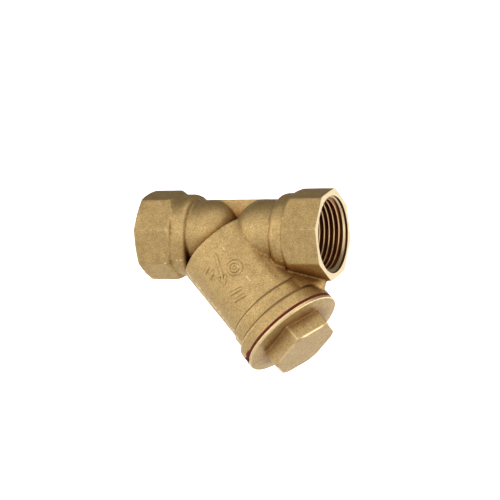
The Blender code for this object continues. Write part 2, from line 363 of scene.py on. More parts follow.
def joined(name, meshes):
    """One object that holds several overlapping closed shells."""
    shape = bmesh.new()
    for mesh in meshes:
        shape.from_mesh(mesh)
    mesh = bpy.data.meshes.new(name)
    shape.to_mesh(mesh)
    shape.free()
    return add(name, mesh)


def cast(name, shells, voxel, softening, finishes):
    """Fuses overlapping shells into one skin with softened edges and filleted corners."""
    piece = joined(name, shells)
    remesh = piece.modifiers.new("fuse", "REMESH")
    remesh.mode = "VOXEL"
    remesh.voxel_size = voxel
    smooth = piece.modifiers.new("soften", "SMOOTH")
    smooth.factor = 0.5
    smooth.iterations = softening
    return dress(settle(piece), finishes)


def dress(piece, materials):
    for finish in materials:
        piece.data.materials.append(finish)
    return piece


def machined(piece, meshes, operation):
    """Cuts the meshes out of a piece, or joins them to it, one after the other. The new faces keep
    the slots of the tools, because tools and piece carry the same list of materials, each once."""
    tools = [dress(add(mesh.name, mesh), piece.data.materials) for mesh in meshes]
    for tool in tools:
        step = piece.modifiers.new(tool.name, "BOOLEAN")
        step.operation = operation
        step.solver = "MANIFOLD"
        step.object = tool
    settle(piece)
    for tool in tools:
        bpy.data.objects.remove(tool)
    return piece


def smooth_but_sharp(piece, degrees):
    piece.data.shade_smooth()
    piece.data.set_sharp_from_angle(angle=math.radians(degrees))


# The casting


def end_tube_shell(name, bulb_centre, place):
    shoulder = COLLAR_RADIUS - TUBE_RADIUS
    outline = [(0, END_DEPTH / 2), (COLLAR_RADIUS, END_DEPTH / 2)]
    for i in range(13):
        angle = math.pi / 2 * i / 12
        radius = TUBE_RADIUS + shoulder * math.cos(angle)
        outline.append((radius, COLLAR_END + SHOULDER_LENGTH * math.sin(angle)))
    for i in range(40):
        angle = math.pi / 2 * i / 40
        outline.append((TUBE_RADIUS * math.cos(angle), bulb_centre + TUBE_RADIUS * math.sin(angle)))
    outline.append((0, bulb_centre + TUBE_RADIUS))
    return lathe(name, outline, place)


def end_octagon_shell(name, form, place):
    """An octagon whose inner corners are turned down to a cone. It starts proud of the face, and
    form holds the end's swell, extra depth and loss."""
    swell, extra, loss = form

    def radius_at(angle, height):
        cone = END_CHAMFER_RADIUS + END_CHAMFER_SLOPE * (END_DEPTH - height)
        flat = polygon_radius(angle, 8, END_ACROSS_FLATS / 2)
        crown = swell * min(1, max(0, 1 - height / CROWN_DEPTH)) ** 2
        return min(flat + crown * max(0, END_CORNER_RADIUS - flat), END_CORNER_RADIUS, cone)

    def raise_by(angle, height):
        lean = extra - loss * END_CORNER_RADIUS * abs(math.cos(angle))
        return lean * max(0, height / END_DEPTH) ** 2

    levels = [-1 * MM] + [END_DEPTH * i / 40 for i in range(41)]
    return polar_solid(name, radius_at, levels, place, raise_by=raise_by)


def branch_shell():
    step = 0.8 * MM
    outline = [
        (0, MOUTH_FACE + 1 * MM),
        (RIM_RADIUS, MOUTH_FACE + 1 * MM),
        (RIM_RADIUS, RIM_START + step),
        (RIM_RADIUS - step, RIM_START),
        (BAND_RADIUS, RIM_START),
        (BAND_RADIUS, BAND_START + step / 2),
        (BRANCH_RADIUS, BAND_START),
        (BRANCH_RADIUS, BRANCH_START),
        (0, BRANCH_START),
    ]
    return lathe("branch", outline, BRANCH)


def gusset_shell():
    """The fill of the crotch: a hull from its edge on the branch to its edge under the outlet."""
    points = []
    steps = 24
    for i in range(steps + 1):
        along = i / steps
        x = GUSSET_START + (GUSSET_NOSE - GUSSET_START) * along
        y = GUSSET_HALF_WIDTH * (1 - along * along) ** GUSSET_FULLNESS
        radius = BRANCH_RADIUS + (RIM_RADIUS - BRANCH_RADIUS) * along**3 - GUSSET_SINK
        across = math.sqrt(radius * radius - y * y)
        t = (x - INLET_BULB - across * math.sin(ANGLE)) / math.cos(ANGLE)
        z = across * math.cos(ANGLE) - t * math.sin(ANGLE)
        points += [(x, y, z), (x, -y, z)]
    for x, y, z in GUSSET_TOP:
        points += [(x * MM, y * MM, z * MM), (x * MM, -y * MM, z * MM)]
    return hull("gusset", points)


def socket_tools(name, bore_radius, bore_end, place):
    """Facing disc, thread, mouth, relief and the cored bore of one end."""
    clear = 3 * MM
    relief = SOCKET_MAJOR + 0.15 * MM
    face = [(0, 0), (FACING_RADIUS, 0), (FACING_RADIUS, -clear), (0, -clear)]
    face = lathe(f"{name} face", face, place, slots=MACHINED)
    thread = threaded_rod(
        f"{name} thread",
        SOCKET_MINOR,
        SOCKET_MAJOR,
        SOCKET_PITCH,
        0.85 * MM - 2 * SOCKET_PITCH,
        SOCKET_THREAD_END,
        place,
        SOCKET,
    )
    mouth = [
        (0, -clear),
        (MOUTH_RADIUS, -clear),
        (MOUTH_RADIUS - 0.2 * MM, MOUTH_DEPTH),
        (SOCKET_MINOR - 0.1 * MM, MOUTH_DEPTH + 1 * MM),
        (0, MOUTH_DEPTH + 1 * MM),
    ]
    mouth = lathe(f"{name} mouth", mouth, place, slots=[SOCKET, SOCKET, MACHINED, MACHINED])
    outline = [
        (0, SOCKET_DEPTH - 4 * MM),
        (relief, SOCKET_DEPTH - 3.2 * MM),
        (relief, SOCKET_DEPTH - 0.6 * MM),
        (relief - 0.8 * MM, SOCKET_DEPTH),
        (bore_radius + 0.6 * MM, SOCKET_DEPTH),
        (bore_radius, SOCKET_DEPTH + 0.6 * MM),
    ]
    slots = [SOCKET] * 4 + [CAST]
    for i in range(25):
        angle = math.pi / 2 * i / 25
        outline.append((bore_radius * math.cos(angle), bore_end + bore_radius * math.sin(angle)))
        slots.append(CAST)
    outline.append((0, bore_end + bore_radius))
    slots.append(CAST)
    return [face, thread, mouth, lathe(f"{name} bore", outline, place, slots=slots)]


def branch_tools():
    clear = 1.5 * MM
    top = MOUTH_FACE + clear
    over = top + clear
    face = [(0, over), (FACING_RADIUS, over), (FACING_RADIUS, MOUTH_FACE), (0, MOUTH_FACE)]
    lead = CAP_THREAD_MAJOR + 0.3 * MM
    lead_end = MOUTH_FACE - 1.4 * MM
    mouth = [(0, top), (lead + clear, top), (lead - 1.4 * MM, lead_end), (0, lead_end)]
    relief = CAP_THREAD_MAJOR + 0.1 * MM
    chamber = [
        (0, CAP_THREAD_START + 0.6 * MM),
        (CAP_THREAD_MINOR, CAP_THREAD_START + 0.6 * MM),
        (relief, CAP_THREAD_START),
        (relief, CAP_THREAD_START - 2 * MM),
        (CHAMBER_RADIUS, CAP_THREAD_START - 3.5 * MM),
        (CHAMBER_RADIUS, CHAMBER_START + 0.6 * MM),
        (CHAMBER_RADIUS - 0.6 * MM, CHAMBER_START),
        (SEAT_RADIUS, CHAMBER_START),
        (SEAT_RADIUS, SEAT_FACE),
        (BORE_RADIUS - 0.05 * MM, SEAT_FACE),
        (BORE_RADIUS - 0.05 * MM, 0.4 * MM),
        (0, 0.4 * MM),
    ]
    slots = [MACHINED] * 4 + [CAST] * 3 + [MACHINED] * 2 + [CAST] * 2
    thread = threaded_rod(
        "mouth thread",
        CAP_THREAD_MINOR,
        CAP_THREAD_MAJOR,
        CAP_PITCH,
        SPIGOT_START - CAP_PITCH,  # in step with the cap's thread
        top,
        BRANCH,
        THREADED,
        steps=144,
        samples=8,
    )
    return [
        lathe("mouth face", face, BRANCH, slots=MACHINED),
        lathe("mouth lead", mouth, BRANCH, slots=MACHINED),
        lathe("chamber", chamber, BRANCH, slots=slots),
        thread,
    ]


def foot_groove(name, radius, step_at, width):
    """A shallow groove round the branch at the foot of a step, coloured dark brown as a painted
    shadow: the fine dark line there.
    """
    low, high = step_at - width, step_at + 0.05 * MM
    inner, outer = radius - GROOVE_DEPTH, radius + 1.2 * MM
    outline = [(inner, high), (outer, high), (outer, low), (inner, low)]
    return lathe(name, outline, BRANCH, steps=240, slots=STEP_SHADOW)


def points_of(mesh):
    """The points of a mesh and their normals, as arrays."""
    places = np.empty(len(mesh.vertices) * 3)
    normals = np.empty(len(mesh.vertices) * 3)
    mesh.vertices.foreach_get("co", places)
    mesh.vertices.foreach_get("normal", normals)
    return places.reshape(-1, 3), normals.reshape(-1, 3)


def lift(mesh, heights):
    """Moves each point along its normal by its own height."""
    places, normals = points_of(mesh)
    places += normals * heights[:, None]
    mesh.vertices.foreach_set("co", places.ravel())
    mesh.update()


def roughen(mesh, size, amount, seed):
    """Moves the points by a soft noise, as an uneven mould does."""
    places, _ = points_of(mesh)
    shift = Vector((seed, 2 * seed, 3 * seed))
    lift(mesh, amount * np.array([noise.noise(Vector(place) / size + shift) for place in places]))


def refine(mesh, chosen):
    """Halves the size of the faces whose points are all chosen."""
    shape = bmesh.new()
    shape.from_mesh(mesh)
    edges = {e for f in shape.faces if all(chosen[v.index] for v in f.verts) for e in f.edges}
    bmesh.ops.subdivide_edges(shape, edges=list(edges), cuts=1, use_grid_fill=True)
    shape.to_mesh(mesh)
    shape.free()


def on_branch(mesh):
    """For each point of a mesh: its distances along and round the branch, and from the axis."""
    places, _ = points_of(mesh)
    to_local = np.array(BRANCH.inverted())
    x, y, along = (places @ to_local[:3, :3].T + to_local[:3, 3]).T
    return along, BRANCH_RADIUS * np.arctan2(x, y), np.hypot(x, y)


def emboss(mesh):
    """Raises the marks out of the front of the branch, with soft sides."""
    along, around, radius = on_branch(mesh)
    middle, half_length, side, half_width = MARK_AREA
    front = (abs(radius - BRANCH_RADIUS) < MARK_REACH) & (abs(along - middle) < half_length)
    refine(mesh, front & (abs(around - side) < half_width))
    along, around, radius = on_branch(mesh)
    spots = np.stack((along, around), axis=1)
    nearest = np.full(len(spots), RUN_LENGTH)
    for start, end in MARK_LINES:
        start, end = np.array(start) * MM, np.array(end) * MM
        share = np.clip((spots - start) @ (end - start) / ((end - start) @ (end - start)), 0, 1)
        gaps = np.linalg.norm(spots - start - share[:, None] * (end - start), axis=1)
        nearest = np.minimum(nearest, gaps)
    for centre, size in MARK_RINGS:
        gaps = abs(np.linalg.norm(spots - np.array(centre) * MM, axis=1) - size * MM)
        nearest = np.minimum(nearest, gaps)
    height = np.clip(1.5 - nearest / MARK_WIDTH, 0, 1) * (abs(radius - BRANCH_RADIUS) < MARK_REACH)
    lift(mesh, MARK_HEIGHT * height * height * (3 - 2 * height))


def mould_seam(mesh):
    """The rough line that the two halves of the mould leave along the middle of both ends."""
    places, _ = points_of(mesh)
    x, y, z = places.T
    from_end = np.minimum(x, RUN_LENGTH - x)
    near = (from_end < END_DEPTH - 1 * MM) & (abs(y) > END_CHAMFER_RADIUS) & (abs(z) < SEAM_ZONE)
    refine(mesh, near)
    places, _ = points_of(mesh)
    x, y, z = places.T
    from_end = np.minimum(x, RUN_LENGTH - x)
    height = np.zeros(len(places))
    near = (from_end < END_DEPTH) & (abs(y) > END_CHAMFER_RADIUS) & (abs(z) < SEAM_ZONE)
    for i in np.flatnonzero(near):
        wander = 0.35 * MM * noise.noise(Vector((x[i] / (2 * MM), y[i], 0)))
        strength = 0.6 + noise.noise(Vector((x[i] / (0.9 * MM), y[i], 5)))
        height[i] = max(0, strength) * max(0, 1 - abs(z[i] - wander) / SEAM_HALF_WIDTH)
    lift(mesh, SEAM_HEIGHT * height)


def make_body(finishes):
    shells = [
        end_tube_shell("inlet tube", INLET_BULB, INLET),
        end_tube_shell("outlet tube", OUTLET_BULB, OUTLET),
        end_octagon_shell("inlet octagon", INLET_SHAPE, INLET),
        end_octagon_shell("outlet octagon", OUTLET_SHAPE, OUTLET),
        branch_shell(),
        block(
            "web",
            (INLET_BULB, -WEB_HALF_WIDTH, WEB_BOTTOM),
            (RUN_LENGTH - OUTLET_BULB, WEB_HALF_WIDTH, TUBE_RADIUS),
        ),
        gusset_shell(),
    ]
    body = cast("body_casting", shells, VOXEL, 8, finishes)
    roughen(body.data, 5 * MM, 0.06 * MM, 1.7)
    emboss(body.data)
    mould_seam(body.data)
    tools = socket_tools("inlet", BORE_RADIUS, INLET_BULB, INLET)
    tools += socket_tools("outlet", OUTLET_PASSAGE_RADIUS, OUTLET_PASSAGE_END, OUTLET)
    tools += branch_tools()
    tools.append(foot_groove("band groove", BRANCH_RADIUS, BAND_START, BAND_GROOVE_WIDTH))
    tools.append(foot_groove("rim groove", BAND_RADIUS, RIM_START, RIM_GROOVE_WIDTH))
    machined(body, tools, "DIFFERENCE")
    smooth_but_sharp(body, 35)
    return body


# The cap, the gasket and the screen


def make_cap(finishes):
    apothem = HEAD_CORNER_RADIUS * math.cos(math.pi / 6)

    def head_radius(angle, height):
        cone = HEAD_CONE_RADIUS + HEAD_CONE_SLOPE * (HEAD_TOP - height)
        return min(polygon_radius(angle, 6, apothem, HEAD_TURN), cone)

    levels = [FLANGE_BACK + (HEAD_TOP - FLANGE_BACK) * i / 60 for i in range(61)]
    flange = [
        (0, HEAD_BASE),
        (HEAD_CORNER_RADIUS - 1.5 * MM, HEAD_BASE),
        (FLANGE_RADIUS + 1 * MM, FLANGE_EDGE - 0.1 * MM),
        (FLANGE_RADIUS + 1 * MM, FLANGE_BACK - 0.5 * MM),
        (0, FLANGE_BACK - 0.5 * MM),
    ]
    shells = [polar_solid("head", head_radius, levels, BRANCH), lathe("flange", flange, BRANCH)]
    cap = cast("cap_forging", shells, VOXEL * 0.75, 5, finishes)
    roughen(cap.data, 4 * MM, 0.05 * MM, 4.1)
    bevel = 0.35 * MM
    past = 4 * MM
    trim = [
        (FLANGE_RADIUS + past, FLANGE_EDGE + past - bevel),
        (FLANGE_RADIUS - bevel, FLANGE_EDGE - 0.02 * MM),
        (FLANGE_RADIUS, FLANGE_EDGE - 0.02 * MM - bevel),
        (FLANGE_RADIUS, FLANGE_BACK + 0.15 * MM),
        (FLANGE_RADIUS - 0.15 * MM, FLANGE_BACK),
        (FLANGE_RADIUS - 5 * MM, FLANGE_BACK),
        (0, FLANGE_BACK),
        (0, FLANGE_BACK - past),
        (FLANGE_RADIUS + past, FLANGE_BACK - past),
    ]
    trim_slots = [TURNED, TURNED, FORGED, TURNED]
    machined(cap, [lathe("trim", trim, BRANCH, slots=trim_slots)], "DIFFERENCE")
    spigot = threaded_rod(
        "spigot thread",
        CAP_THREAD_MINOR - 0.12 * MM,
        CAP_THREAD_MAJOR - 0.12 * MM,
        CAP_PITCH,
        SPIGOT_START - 3 * CAP_PITCH,
        FLANGE_BACK - 2.2 * CAP_PITCH,
        BRANCH,
        TURNED,
        steps=144,
        samples=8,
    )
    neck = CAP_THREAD_MINOR - 0.25 * MM
    neck_outline = [
        (0, FLANGE_BACK + 1 * MM),
        (neck, FLANGE_BACK + 1 * MM),
        (neck, SPIGOT_START - 1 * MM),
        (0, SPIGOT_START - 1 * MM),
    ]
    machined(cap, [lathe("neck", neck_outline, BRANCH, slots=TURNED), spigot], "UNION")
    hollow_start = SPIGOT_START - 5.7 * MM
    hollow = [
        (0, HOLLOW_END),
        (HOLLOW_RADIUS - 1 * MM, HOLLOW_END),
        (HOLLOW_RADIUS, HOLLOW_END - 1 * MM),
        (HOLLOW_RADIUS, RECESS_FLOOR),
        (RECESS_RADIUS, RECESS_FLOOR),
        (RECESS_RADIUS, SPIGOT_START + 0.3 * MM),
        (RECESS_RADIUS + 6 * MM, hollow_start),
        (0, hollow_start),
    ]
    ring_low = SPIGOT_START - 12 * MM
    end_trim = [
        (CAP_THREAD_MINOR - 0.5 * MM, SPIGOT_START),
        (CAP_THREAD_MAJOR + 3 * MM, SPIGOT_START + 3.2 * MM),
        (CAP_THREAD_MAJOR + 3 * MM, ring_low),
        (0, ring_low),
        (0, SPIGOT_START),
    ]
    hollow = lathe("hollow", hollow, BRANCH, slots=TURNED)
    end_trim = lathe("end trim", end_trim, BRANCH, slots=TURNED)
    machined(cap, [hollow, end_trim], "DIFFERENCE")
    bevel_low = HEAD_TOP - 2 * MM

    def bevel_radius(angle, height):
        """A hexagon that narrows over the head's end, and clears the rest of the cap."""
        if height < bevel_low:
            return 2 * FLANGE_RADIUS
        return polygon_radius(angle, 6, apothem - HEAD_BEVEL + HEAD_TOP - height, HEAD_TURN)

    levels = [ring_low - 3 * MM, bevel_low - 0.01 * MM, bevel_low, HEAD_TOP + 1 * MM]
    bevel_form = polar_solid("head bevel", bevel_radius, levels, BRANCH)
    for face in bevel_form.polygons:
        face.material_index = TURNED
    machined(cap, [bevel_form], "INTERSECT")
    smooth_but_sharp(cap, 35)
    return cap


def make_gasket():
    """A washer with an uneven edge, squeezed out in one place."""
    low = MOUTH_FACE + GASKET_PLAY
    high = FLANGE_BACK - GASKET_PLAY
    half = (high - low) / 2
    outline = [(GASKET_INNER, low), (GASKET_INNER, high)]
    for i in range(9):
        angle = math.pi / 2 - math.pi * i / 8
        radius = GASKET_OUTER + GASKET_CROWN * math.cos(angle)
        outline.append((radius, low + half + half * math.sin(angle)))
    mesh = lathe("cap_gasket", outline, BRANCH, steps=240)
    to_local = BRANCH.inverted()
    for point in mesh.vertices:
        local = to_local @ point.co
        radius = math.hypot(local.x, local.y)
        if radius > 22 * MM:
            from_bulge = math.hypot(local.x / radius + 0.77, local.y / radius - 0.64)
            bulge = min(1, 2 * max(0, 1 - from_bulge / 0.24))
            bulge *= 1 + noise.noise(point.co / (1.5 * MM))
            grow = 0.2 * MM * noise.noise(point.co / (2.2 * MM))
            grow += 0.15 * MM * noise.noise(point.co / (7 * MM))
            grow += 0.6 * MM * bulge
            outward = (radius - GASKET_OUTER) / GASKET_CROWN
            local.x *= 1 + grow / radius
            local.y *= 1 + grow / radius
            local.z += (local.z - low - half) * 1.4 * bulge * outward
            point.co = BRANCH @ local
    gasket = add("gasket_washer", mesh)
    smooth_but_sharp(gasket, 50)
    return gasket


def sheet_radius(angle):
    """Radius of the rolled sheet: near its end it steps out to lie over its own start."""
    late = min(1, max(0, (angle - math.tau + LAP) / LAP))
    return SLEEVE_RADIUS + SHEET_THICKNESS * 1.15 * late * late * (3 - 2 * late)


def make_sleeve():
    """A perforated sheet rolled into a sleeve, with its ends lapped along one seam."""
    low = SEAT_FACE + 0.8 * MM
    high = RECESS_FLOOR - 0.8 * MM
    rows = 24
    columns = 42
    half_height = (high - low - 2 * SHEET_MARGIN) / rows / 2
    half_angle = (math.tau - 2 * LAP) / columns / 2
    shape = bmesh.new()
    found = {}

    def point(angle, height):
        key = (round(angle * 1e5), round(height * 1e7))
        if key not in found:
            found[key] = shape.verts.new(turned(sheet_radius(angle), angle, height))
        return found[key]

    def cell(angle, height):
        around = [(1, 0), (1, 1), (0, 1), (-1, 1), (-1, 0), (-1, -1), (0, -1), (1, -1)]
        outer = [point(angle + a * half_angle, height + h * half_height) for a, h in around]
        inner = []
        for i in range(16):
            turn = math.tau * i / 16
            across = HOLE_RADIUS / SLEEVE_RADIUS * math.cos(turn)
            inner.append(point(angle + across, height + HOLE_RADIUS * math.sin(turn)))
        for i in range(8):
            j = (i + 1) % 8
            arc = (inner[(2 * i + 2) % 16], inner[2 * i + 1], inner[2 * i])
            shape.faces.new((outer[i], outer[j], *arc))

    def plain(angles, heights):
        for a, b in zip(angles, angles[1:]):
            for c, d in zip(heights, heights[1:]):
                shape.faces.new((point(a, c), point(b, c), point(b, d), point(a, d)))

    for row in range(rows):
        height = low + SHEET_MARGIN + half_height * (2 * row + 1)
        for column in range(columns - row % 2):
            cell(LAP / 2 + half_angle * (2 * column + 1 + row % 2), height)
        if row % 2:
            levels = [height - half_height, height, height + half_height]
            plain([LAP / 2, LAP / 2 + half_angle], levels)
            last = LAP / 2 + half_angle * (2 * columns - 1)
            plain([last, last + half_angle], levels)
    holes_start = LAP / 2
    holes_end = holes_start + 2 * half_angle * columns
    middle = [holes_start + half_angle * k for k in range(2 * columns + 1)]
    levels = [low + SHEET_MARGIN + half_height * k for k in range(2 * rows + 1)]
    lead = [0, holes_start]
    tail = [holes_end + (math.tau + LAP / 2 - holes_end) * k / 12 for k in range(13)]
    for edge in ([low, low + SHEET_MARGIN], [high - SHEET_MARGIN, high]):
        plain(lead, edge)
        plain(middle, edge)
        plain(tail, edge)
    plain(lead, levels)
    plain(tail, levels)
    bmesh.ops.transform(shape, matrix=BRANCH, verts=shape.verts)
    mesh = bpy.data.meshes.new("screen_sheet")
    shape.to_mesh(mesh)
    shape.free()
    sleeve = add("screen_sheet", mesh)
    wall = sleeve.modifiers.new("sheet", "SOLIDIFY")
    wall.thickness = SHEET_THICKNESS
    wall.offset = 0
    settle(sleeve)
    smooth_but_sharp(sleeve, 40)
    return sleeve


def make_ring(name, base, side):
    """A rolled ring with a groove that holds an end of the sheet."""
    slot_inner = SLEEVE_RADIUS - SHEET_THICKNESS / 2 - 0.05 * MM
    slot_outer = SLEEVE_RADIUS + SHEET_THICKNESS * 1.7 + 0.05 * MM
    lip = base + side * 3 * MM
    floor = base + side * 0.7 * MM
    soft = 0.22 * MM
    outline = []
    corners = [(RING_OUTER, base), (RING_OUTER, lip), (slot_outer, lip), (slot_outer, floor)]
    corners += [(slot_inner, floor), (slot_inner, lip), (RING_INNER, lip), (RING_INNER, base)]
    for k, corner in enumerate(corners):
        before, after = Vector(corners[k - 1]), Vector(corners[(k + 1) % len(corners)])
        here = Vector(corner)
        a = here + (before - here).normalized() * soft
        b = here + (after - here).normalized() * soft
        for i in range(4):
            t = i / 3
            outline.append(tuple(a * (1 - t) ** 2 + here * 2 * t * (1 - t) + b * t * t))
    ring = add(name, lathe(name, outline, BRANCH))
    smooth_but_sharp(ring, 50)
    return ring


# Materials

CAST_LIGHT = (0.67, 0.47, 0.205)
CAST_DARK = (0.56, 0.38, 0.158)
FORGED_LIGHT = (0.68, 0.485, 0.23)
FORGED_DARK = (0.58, 0.405, 0.18)
FACE_BRASS = (0.62, 0.49, 0.28)
THREAD_BRASS = (0.92, 0.72, 0.42)
CAP_BRASS = (0.80, 0.60, 0.33)
# Pale brass for pointed edges: partly wear, partly a painted highlight
BRASS_WEAR_AND_HIGHLIGHT = (0.88, 0.69, 0.38)
# Thread colours below the crests: painted shade, partly patina, and the darker painted shade past
# the roots
THREAD_FLANK_SHADE_AND_PATINA = (0.46, 0.24, 0.13)
THREAD_MOUTH_SHADE = (0.22, 0.12, 0.07)
# Dark brown of the painted shadow at the foot of the branch's steps
STEP_SHADOW_BROWN = (0.25, 0.15, 0.055)
# White: no painted shade
NO_DARKENING = (1.0, 1.0, 1.0)


def shader_material(name, colour, roughness, metallic):
    made = bpy.data.materials.new(name)
    made.use_nodes = True
    nodes = made.node_tree.nodes
    shader = nodes["Principled BSDF"]
    shader.inputs["Base Color"].default_value = (*colour, 1)
    shader.inputs["Roughness"].default_value = roughness
    shader.inputs["Metallic"].default_value = metallic
    return made, nodes, made.node_tree.links, shader


def noise_node(nodes, links, scale, detail, roughness=0.5):
    coordinates = nodes.new("ShaderNodeTexCoord")
    made = nodes.new("ShaderNodeTexNoise")
    made.inputs["Scale"].default_value = scale
    made.inputs["Detail"].default_value = detail
    made.inputs["Roughness"].default_value = roughness
    links.new(coordinates.outputs["Object"], made.inputs["Vector"])
    return made


def ramp(nodes, links, source, stops):
    made = nodes.new("ShaderNodeValToRGB")
    while len(made.color_ramp.elements) < len(stops):
        made.color_ramp.elements.new(0.5)
    for element, (place, colour) in zip(made.color_ramp.elements, stops):
        element.position = place
        element.color = (colour, colour, colour, 1) if isinstance(colour, float) else (*colour, 1)
    links.new(source, made.inputs["Fac"])
    return made.outputs["Color"]


def mix(nodes, links, kind, factor, a, b):
    made = nodes.new("ShaderNodeMix")
    made.data_type = "RGBA"
    made.blend_type = kind
    if isinstance(factor, float):
        made.inputs["Factor"].default_value = factor
    else:
        links.new(factor, made.inputs["Factor"])
    for socket, value in ((made.inputs["A"], a), (made.inputs["B"], b)):
        if isinstance(value, tuple):
            socket.default_value = (*value, 1)
        else:
            links.new(value, socket)
    return made.outputs["Result"]


def occlusion(nodes, links, distance, stops):
    """A colour by how enclosed the surface is within a distance, used as painted shade. The first
    stop is for corners.
    """
    made = nodes.new("ShaderNodeAmbientOcclusion")
    made.inputs["Distance"].default_value = distance
    return ramp(nodes, links, made.outputs["AO"], stops)


def map_range(nodes, links, source, low, high, to_low=0.0, to_high=1.0):
    made = nodes.new("ShaderNodeMapRange")
    names = ("From Min", "From Max", "To Min", "To Max")
    for name, value in zip(names, (low, high, to_low, to_high)):
        made.inputs[name].default_value = value
    links.new(source, made.inputs["Value"])
    return made.outputs["Result"]


def bump(nodes, links, height, strength, distance, normal=None):
    made = nodes.new("ShaderNodeBump")
    made.inputs["Strength"].default_value = strength
    made.inputs["Distance"].default_value = distance
    links.new(height, made.inputs["Height"])
    if normal is not None:
        links.new(normal, made.inputs["Normal"])
    return made.outputs["Normal"]


def blasted_brass(name, light, dark, roughness, edge):
    """Cast or forged brass after blasting: a fine grain, darkened in its corners and creases by
    painted shade and partly by patina. edge is how pointed a corner must be to be lightened,
    partly as wear and partly as a painted highlight: above 0.5, and the higher the sharper."""
    made, nodes, links, shader = shader_material(name, light, roughness, 1.0)
    grain = noise_node(nodes, links, 1800, 3, 0.7)
    blotch = noise_node(nodes, links, 260, 5, 0.6)
    colour = ramp(nodes, links, blotch.outputs["Fac"], [(0.3, dark), (0.7, light)])
    speck = ramp(nodes, links, grain.outputs["Fac"], [(0.36, 0.66), (0.6, 1.0)])
    colour = mix(nodes, links, "MULTIPLY", 1.0, colour, speck)
    mottle = noise_node(nodes, links, 620, 2, 0.6)
    patch = ramp(nodes, links, mottle.outputs["Fac"], [(0.38, 0.93), (0.6, 1.03)])
    colour = mix(nodes, links, "MULTIPLY", 1.0, colour, patch)
    pointiness = nodes.new("ShaderNodeNewGeometry").outputs["Pointiness"]
    # Pointed edges are lightened: partly wear, partly a painted highlight
    wear_and_highlight = ramp(nodes, links, pointiness, [(edge, 0.0), (edge + 0.05, 0.75)])
    colour = mix(nodes, links, "MIX", wear_and_highlight, colour, BRASS_WEAR_AND_HIGHLIGHT)
    # Concave points are darkened brown: painted shade in the creases, partly patina
    foot = ramp(nodes, links, pointiness, [(0.43, (0.16, 0.09, 0.04)), (0.488, NO_DARKENING)])
    colour = mix(nodes, links, "MULTIPLY", 1.0, colour, foot)
    # Painted shade in corners and recesses, by occlusion within 9 mm, partly patina
    stops = [(0.3, (0.15, 0.07, 0.03)), (0.65, (0.70, 0.58, 0.46)), (0.9, NO_DARKENING)]
    corner = occlusion(nodes, links, 9 * MM, stops)
    colour = mix(nodes, links, "MULTIPLY", 1.0, colour, corner)
    # Painted shade in narrow creases, partly patina
    crease_shade_and_patina = occlusion(nodes, links, 1.3 * MM, [(0.45, (0.22, 0.12, 0.06)), (0.9, NO_DARKENING)])
    colour = mix(nodes, links, "MULTIPLY", 1.0, colour, crease_shade_and_patina)
    links.new(colour, shader.inputs["Base Color"])
    stops = [(0.3, roughness + 0.1), (0.7, roughness - 0.08)]
    links.new(ramp(nodes, links, grain.outputs["Fac"], stops), shader.inputs["Roughness"])
    pits = noise_node(nodes, links, 1300, 3, 0.65)
    normal = bump(nodes, links, pits.outputs["Fac"], 0.7, 0.2 * MM)
    normal = bump(nodes, links, grain.outputs["Fac"], 0.5, 0.05 * MM, normal)
    links.new(normal, shader.inputs["Normal"])
    return made


def turned_brass(name, light, roughness, axis_point, axis, crest=None):
    """Machined brass with fine tool marks, which run round the axis they were turned on, and
    painted shade in its recesses. A thread with a crest radius is bright on its crests and darkened
    below them by painted shade, partly patina, darkest past the roots."""
    made, nodes, links, shader = shader_material(name, light, roughness, 1.0)
    marks = noise_node(nodes, links, 900, 3)
    dark = tuple(0.86 * c for c in light)
    colour = ramp(nodes, links, marks.outputs["Fac"], [(0.3, dark), (0.7, light)])
    # Painted shade in recesses, by occlusion within 6 mm
    corner = occlusion(nodes, links, 6 * MM, [(0.1, (0.5, 0.4, 0.3)), (0.6, NO_DARKENING)])
    colour = mix(nodes, links, "MULTIPLY", 1.0, colour, corner)
    coordinates = nodes.new("ShaderNodeTexCoord")
    offset = nodes.new("ShaderNodeVectorMath")
    offset.operation = "SUBTRACT"
    offset.inputs[1].default_value = axis_point
    links.new(coordinates.outputs["Object"], offset.inputs[0])
    cross = nodes.new("ShaderNodeVectorMath")
    cross.operation = "CROSS_PRODUCT"
    cross.inputs[1].default_value = axis
    links.new(offset.outputs["Vector"], cross.inputs[0])
    radius = nodes.new("ShaderNodeVectorMath")
    radius.operation = "LENGTH"
    links.new(cross.outputs["Vector"], radius.inputs[0])
    # Painted shade that deepens below the thread's crests, partly patina; darkest past the roots
    if crest is not None:
        below = map_range(nodes, links, radius.outputs["Value"], crest, crest + 2 * MM)
        stops = [(0.05, NO_DARKENING), (0.14, THREAD_FLANK_SHADE_AND_PATINA), (0.74, THREAD_FLANK_SHADE_AND_PATINA), (0.79, THREAD_MOUTH_SHADE)]
        thread_shade_and_patina = ramp(nodes, links, below, stops)
        colour = mix(nodes, links, "MULTIPLY", 1.0, colour, thread_shade_and_patina)
    links.new(colour, shader.inputs["Base Color"])
    rings = nodes.new("ShaderNodeTexNoise")
    rings.noise_dimensions = "1D"
    rings.inputs["Scale"].default_value = 5000
    rings.inputs["Detail"].default_value = 2
    links.new(radius.outputs["Value"], rings.inputs["W"])
    links.new(bump(nodes, links, rings.outputs["Fac"], 0.3, 0.03 * MM), shader.inputs["Normal"])
    return made


